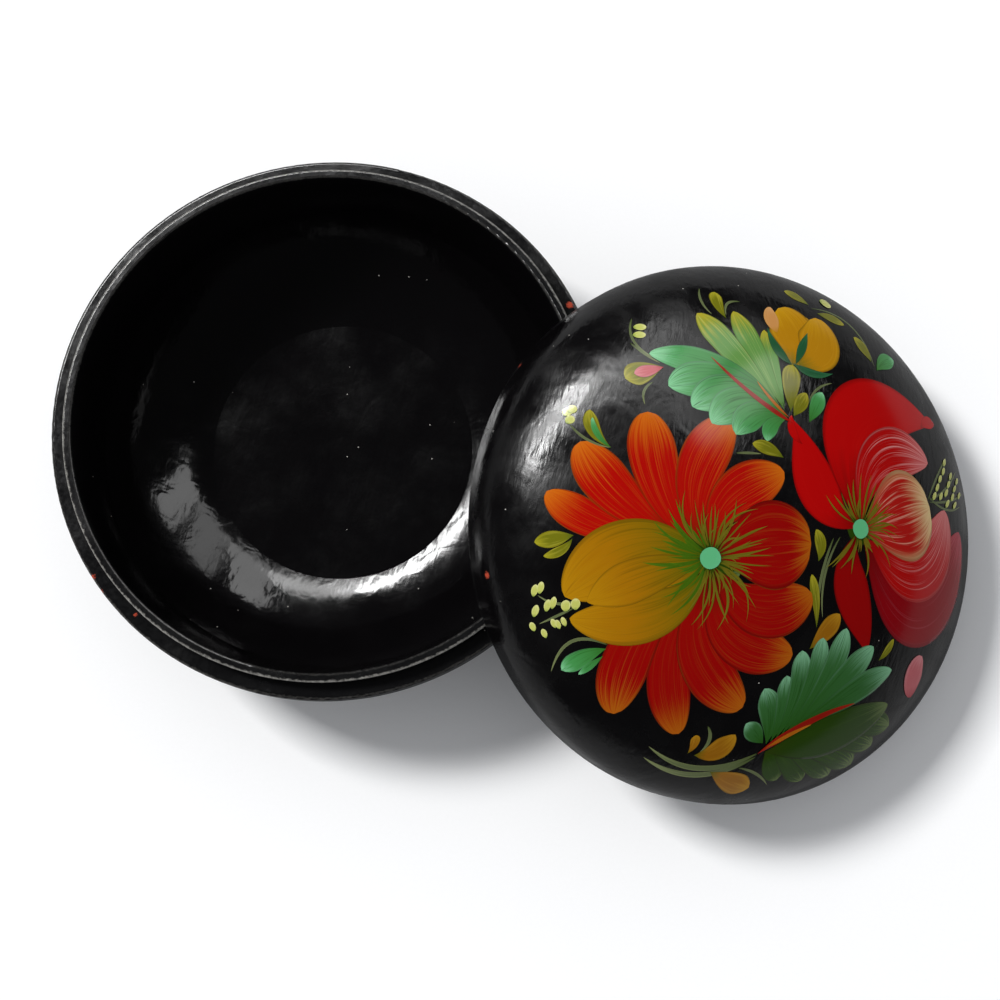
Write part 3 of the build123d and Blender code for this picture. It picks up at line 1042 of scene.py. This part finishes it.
@dataclass
class Sprays(Motif):
    """The small leaflets, berries, tendrils and dabs that fill the black ground."""

    thread: float = 0.7  # mm, breadth of a drawn line
    small_step: float = 0.002  # mm, how much higher each small stroke lies than the last

    def line(self, start: Point, through: Point, tip: Point,
             breadth: float | None = None) -> Stroke:
        """A drawn line that bends out to a point beside it.

        Args:
            start: Its start, mm.
            through: The point that it bends out to, mm.
            tip: Its tip, mm.
            breadth: Breadth, mm.

        Returns:
            One bent stroke.
        """
        way = Vector(tip) - Vector(start)
        left = Vector((-way.y, way.x)).normalized()
        bow = (Vector(through) - Vector(start)).dot(left)
        return Stroke(start, tip, breadth or self.thread, bow=bow, belly=0.45, root=0.5, end=0.7)

    def dabs(self, length: float, breadth: float, turn: float, *spots: Point) -> list[Stroke]:
        """Small oval dabs, all turned one way.

        Args:
            length: Length, mm.
            breadth: Breadth, mm.
            turn: Direction in degrees.
            *spots: Their middles, mm.

        Returns:
            The dabs.
        """
        reach = Vector((math.cos(math.radians(turn)), math.sin(math.radians(turn)))) * length / 2
        return [Stroke((x - reach.x, y - reach.y), (x + reach.x, y + reach.y), breadth,
                       belly=0.55, root=0.6, end=0.5) for x, y in spots]

    def build(self) -> None:
        """Lays the leaflets first, then what hangs on them."""
        leaflets = [
            Stroke((-43, 31), (-52, 25), 6.6, bow=-0.4, belly=0.72),
            Stroke((10.5, -8), (7.5, 0), 3.6, bow=-1.1),
            Stroke((15.5, -25), (9.5, -12), 2.8, bow=-0.5, belly=0.72),
            Stroke((39.5, -27.5), (42.5, -20.5), 2.3, bow=-0.5),
            Stroke((-6.5, 16), (-16, 17), 3.8, bow=-0.6),
            Stroke((-1.5, 66), (-9, 68), 3, bow=-0.5),
            Stroke((1, 64), (10.5, 64), 3, bow=0.4),
            Stroke((19.5, 55), (13.5, 61), 3.6, bow=-0.6),
            Stroke((-55, -20), (-63, -24), 4.5),
            Stroke((-55, -21), (-60, -27), 2.6, bow=1),
            Stroke((-52, 5), (-59, 14), 3.8, bow=1.7, belly=0.7),
            Stroke((-27.5, 51.5), (-30.5, 59.5), 3.7, bow=0.8, belly=0.78),
        ]
        green = [
            Stroke((-0.5, 28.5), (2.5, 38.5), 4.6, belly=0.64),
            Stroke((21.5, 53), (29.5, 60), 5, bow=1),
            Stroke((-38, -46), (-45.5, -54), 5, bow=-0.7, belly=0.72),
            Stroke((-38, -48), (-41.5, -54), 1.9),
            Stroke((-52, 5), (-58, 12), 1.6, bow=1.2),
        ]
        amber = [
            Stroke((15.5, -31), (21.5, -19.5), 5.4, bow=-0.2, belly=0.66),
            Stroke((-4, -66), (4, -58), 6, bow=-1.7),
            Stroke((3, -69), (17, -70), 6, bow=-0.4, belly=0.7),
            Stroke((-6, -66), (-6.5, -61), 2.6, bow=-0.6, belly=0.77),
        ]
        berry = [
            Stroke((58.5, -33), (56.5, -21.5), 8, bow=1.7, belly=0.5, root=0.5, end=0.5),
            Stroke((-43, 31), (-50, 27), 3.4, belly=0.66),
        ]
        drawn = (
            ((-1.5, 33.5), (0.5, 38.5), (5.5, 42.5)),
            ((-52, 44), (-52, 38), (-45, 33)),
            ((-52, 36), (-47, 33), (-44, 32)),
            ((-45, 26), (-47, 22), (-46, 19)),
            ((-34.5, 59.5), (-34.5, 55.5), (-31.5, 51.5)),
            ((-23.5, 58.5), (-26.5, 57.5), (-27.5, 52.5)),
            ((-20, 13), (-17, 14), (-13, 15)),
            ((-1, 65), (12, 65.5), (20.5, 54), 0.6),
            ((13.5, -0.5), (12.5, -10), (15.5, -25), 0.9),
            ((15.5, 0.5), (13.5, -10), (16.5, -22)),
            ((13, -61), (-1, -69), (-16.5, -67), 1.5),
            ((13, -62), (-1, -71), (-16, -70), 1.5),
            ((-4.5, -58), (-2.5, -60), (-3, -65), 1.0),
            ((10, -66), (15.5, -66), (22, -68)),
            ((-63, 9), (-59, 6), (-52, 5)),
            ((-48, -35), (-53, -38), (-58, -37)),
            ((-49, -38), (-52, -41), (-55, -44)),
            ((-38, -45), (-47, -47), (-47.5, -55), 0.9),
            ((44.5, 22), (52.5, 21), (61, 25)),
            ((44.5, 21), (47, 28), (52, 37)),
            ((45, 21), (52, 27), (58, 35)),
            ((45, 20.5), (54, 24), (63, 30)),
        )
        threads = [self.line(*points) for points in drawn]
        pale = [
            *self.dabs(3.2, 1.5, 100, (-59, -36), (-58, -35), (-57, -41), (-55, -39), (-54, -38)),
            *self.dabs(3.0, 2.2, 110, (-51, -38), (-49, -37)),
            *self.dabs(2.6, 1.2, 130, (-56, -45), (-53, -46), (-52, -43), (-51, -43), (-50, -42)),
            *self.dabs(3.4, 2.0, 20, (-50, 41.5), (-50, 39)),
            *self.dabs(2.6, 2.2, 60, (-64, 12), (-63, 13), (-63, 10)),
            *self.dabs(3.0, 1.3, 70, (47, 23), (48, 26), (49, 29), (50.5, 32), (51, 35), (50, 24)),
            *self.dabs(3.2, 1.3, 65, (52.5, 26), (53.5, 29), (54.5, 32), (53.5, 23), (56, 26)),
            *self.dabs(3.2, 1.2, 60, (57, 29), (58.5, 32), (57.5, 24), (60, 28)),
            *self.dabs(4.0, 3.0, 0, (5, 69.5)),
        ]
        for name, paint, strokes, lift in (
            ("sprays_threads", Paint.THREAD, threads, 0.04),
            ("sprays_leaflets", Paint.LEAFLET, leaflets, 0.08),
            ("sprays_green_leaflets", Paint.MINT, green, 0.11),
            ("sprays_amber_drops", Paint.AMBER, amber, 0.13),
            ("sprays_berries", Paint.BLUSH, berry, 0.15),
            ("sprays_pale_dabs", Paint.PALE, pale, 0.17),
        ):
            self.lay(name, paint, strokes, lift, self.small_step)


# ---------------------------------------------------------------- the two turned pieces


@dataclass
class TurnedBowl:
    """The bowl: its CAD shape, dressed in lacquer."""

    lip_radius: float = 75.5  # mm, the lip's outside
    lip_wall: float = 2.5  # mm
    ledge_height: float = 45.0  # mm above the foot
    lip_height: float = 4.5  # mm above the ledge

    def build(self) -> None:
        """Dresses the bowl."""
        low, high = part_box("bowl")
        outer = (high[0] - low[0]) / 2 / MM
        inner = self.lip_radius - self.lip_wall
        top = self.ledge_height + self.lip_height
        finish = BlackLacquer(
            "black_oil_lacquer_bowl", gloss_roughness=0.06, haze_roughness=0.15,
            ripple_mm=6.0, ripple_depth_mm=0.12, drag_mm=2.0, drag_depth_mm=0.04,
            # the lid rubs on the ledge and the lip
            dull_radius=(inner - 0.6, inner),
            dull_height=(self.ledge_height - 4.0, self.ledge_height - 1.0),
            # each edge is rubbed pale a little way inside its corner: the ledge's, then the lip's
            # two; the lip's outer edge, the palest, is also a painted highlight standing in for the
            # glint along it
            edges=(WornAndGlintEdge(outer - 0.3, self.ledge_height - 0.3, 0.2),
                   WornAndGlintEdge(self.lip_radius - 0.2, top - 0.2, 1.1),
                   WornAndGlintEdge(inner + 0.2, top - 0.2, 0.12)),
            chips=(Chip(41.0, 78.2, 45.0, 2.0), Chip(229.5, 79.4, 44.3, 1.8),
                   Chip(233.0, 79.8, 43.6, 2.2), Chip(237.0, 79.9, 43.2, 1.5),
                   Chip(241.5, 77.0, 45.0, 1.1)),
        )
        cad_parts["bowl"].material_slots[0].material = finish.material(Matrix.Identity(4))
        log.info("bowl: lacquered")


@dataclass
class PaintedLid:
    """The lid: its CAD shape in lacquer, with the painting on its dome."""

    side: float = 6.0  # mm, the upright band above the flat rim

    def build(self) -> None:
        """Dresses the lid and paints it."""
        dome = Dome.of_lid(self.side)
        finish = BlackLacquer(
            "black_oil_lacquer_lid", gloss_roughness=0.12, haze_roughness=0.34,
            ripple_mm=9.0, ripple_depth_mm=0.25, drag_mm=1.1, drag_depth_mm=0.085,
            # the flat rim is rubbed, and the band just above it
            dull_radius=(0.0, 1.0), dull_height=(2.5, 0.5),
            # the lid's bottom edge is painted pale as rubbed lacquer and also as a painted
            # highlight along it
            edges=(WornAndGlintEdge(dome.radius - 0.3, 0.3, 0.8),),
            chips=(Chip(206.3, 77.2, 11.0, 1.8), Chip(160.0, 77.8, 2.5, 1.4)),
        )
        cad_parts["lid"].material_slots[0].material = finish.material(dome.place)
        log.info("lid: lacquered")
        brush = Brushwork(dome)
        for motif in (UpperLeaf, LowerLeaf, Bud, Sprays, LargeFlower, RedFlower):
            motif(brush).build()


# ---------------------------------------------------------------- studio


@dataclass(frozen=True)
class Lamp:
    """A flat light that faces the box."""

    name: str
    way: tuple[float, float, float]  # direction to it from the box
    away: float  # m
    size: tuple[float, float]  # m
    radiance: float
    mirrored: bool = True  # it shows in the lacquer and lights nothing, or the other way round

    def build(self, middle: tuple[float, float, float]) -> None:
        """Makes the light.

        Args:
            middle: The box's middle, m.
        """
        light = bpy.data.lights.new(self.name, "AREA")
        light.shape = "RECTANGLE"
        light.size, light.size_y = self.size
        light.energy = self.radiance * math.pi * self.size[0] * self.size[1]
        lamp = bpy.data.objects.new(self.name, light)
        bpy.context.collection.objects.link(lamp)
        direction = Vector(self.way).normalized()
        lamp.location = Vector(middle) + direction * self.away
        lamp.rotation_euler = direction.to_track_quat("Z", "Y").to_euler()
        if self.mirrored:
            lamp.visible_diffuse = False
        else:
            lamp.visible_glossy = False


@dataclass
class Studio:
    """A pale table by a window, and the camera over it."""

    middle: tuple[float, float, float] = (0.06, 0.0, 0.03)
    eye: tuple[float, float, float] = (0.0833, -0.0900, 0.4632)
    pitch: float = 78.49  # degrees under the horizon
    heading: float = 20.0  # degrees left of +Y
    roll: float = -5.3
    lens: float = 54.0  # mm
    sensor: float = 36.0  # mm
    table_reach: float = 15.0  # m from its middle to each edge
    room_light: float = 0.45  # strength of the soft light from all round
    room_mirrored: float = 0.03  # the same, as the lacquer mirrors it
    backdrop: float = 1.0  # the same, as the camera sees it
    lamps: tuple[Lamp, ...] = (
        Lamp("window", (-0.555, 0.374, 0.743), 1.7, (1.02, 0.2), 42.0),
        Lamp("window_side", (-0.240, 0.625, 0.743), 1.7, (0.4, 0.34), 9.0),
        Lamp("pale_panel_0", (-0.02, 0.76, 0.64), 1.9, (0.36, 1.1), 3.2),
        Lamp("pale_panel_1", (0.22, 0.72, 0.65), 1.9, (0.36, 1.1), 2.1),
        Lamp("pale_panel_2", (0.45, 0.62, 0.65), 1.9, (0.36, 1.1), 2.9),
        Lamp("softbox", (-0.63, 0.171, 0.757), 6.0, (1.3, 1.3), 59.0, mirrored=False),
    )

    def build(self) -> None:
        """Builds the table, the lights and the camera."""
        self._table()
        for lamp in self.lamps:
            lamp.build(self.middle)
        self._fill()
        self._camera()
        bpy.context.scene.view_settings.view_transform = "Standard"

    def _table(self) -> None:
        """Sets up a matt white board, which the lacquer mirrors as grey."""
        bm = bmesh.new()
        bmesh.ops.create_grid(bm, x_segments=8, y_segments=8, size=self.table_reach)
        mesh = bpy.data.meshes.new("table")
        bm.to_mesh(mesh)
        bm.free()
        table = bpy.data.objects.new("table", mesh)
        bpy.context.collection.objects.link(table)
        material, tree = new_material("white_matt_board")
        where = add_node(tree, "TexCoord", output="Object")
        # a fleck of about a millimetre, as on uncoated board
        fleck = add_node(tree, "TexNoise", {
            "Vector": where, "Scale": 0.9 / MM, "Detail": 2.0})
        path = add_node(tree, "LightPath", output="Is Glossy Ray")
        tone = overlaid(tree, "FCFCFC", [(fleck, "FFFFFF"), (path, "8E8E8E")])
        shader = add_node(tree, "BsdfPrincipled", {"Base Color": tone, "Roughness": 0.9})
        add_node(tree, "OutputMaterial", {"Surface": shader})
        mesh.materials.append(material)

    def _fill(self) -> None:
        """Soft light from all round, which the lacquer hardly mirrors."""
        world = bpy.data.worlds.new("room")
        bpy.context.scene.world = world
        world.use_nodes = True
        tree = world.node_tree
        tree.nodes.clear()
        path = add_node(tree, "LightPath").node
        soft, dark, pale = (
            add_node(tree, "Background", {"Color": linear(tint), "Strength": strength})
            for tint, strength in (("F4F6FA", self.room_light), ("F4F6FA", self.room_mirrored),
                                   ("F6F6F6", self.backdrop)))
        mirrored = add_node(tree, "MixShader", {
            0: path.outputs["Is Glossy Ray"], 1: soft, 2: dark})
        seen = add_node(tree, "MixShader", {
            0: path.outputs["Is Camera Ray"], 1: mirrored, 2: pale})
        add_node(tree, "OutputWorld", {"Surface": seen})

    def _camera(self) -> None:
        """Sets the camera almost straight above the box."""
        data = bpy.data.cameras.new("camera")
        data.lens, data.sensor_width = self.lens, self.sensor
        camera = bpy.data.objects.new("camera", data)
        bpy.context.collection.objects.link(camera)
        camera.matrix_world = (
            Matrix.Translation(self.eye)
            @ Matrix.Rotation(math.radians(self.heading), 4, "Z")
            @ Matrix.Rotation(math.radians(90 - self.pitch), 4, "X")
            @ Matrix.Rotation(math.radians(self.roll), 4, "Z")
        )
        bpy.context.scene.camera = camera


def main() -> None:
    """Dresses the two pieces, paints the lid and sets up the studio."""
    logging.basicConfig(level=logging.INFO, format="%(name)s %(message)s")
    TurnedBowl().build()
    PaintedLid().build()
    Studio().build()


if __name__ == "__main__":
    main()
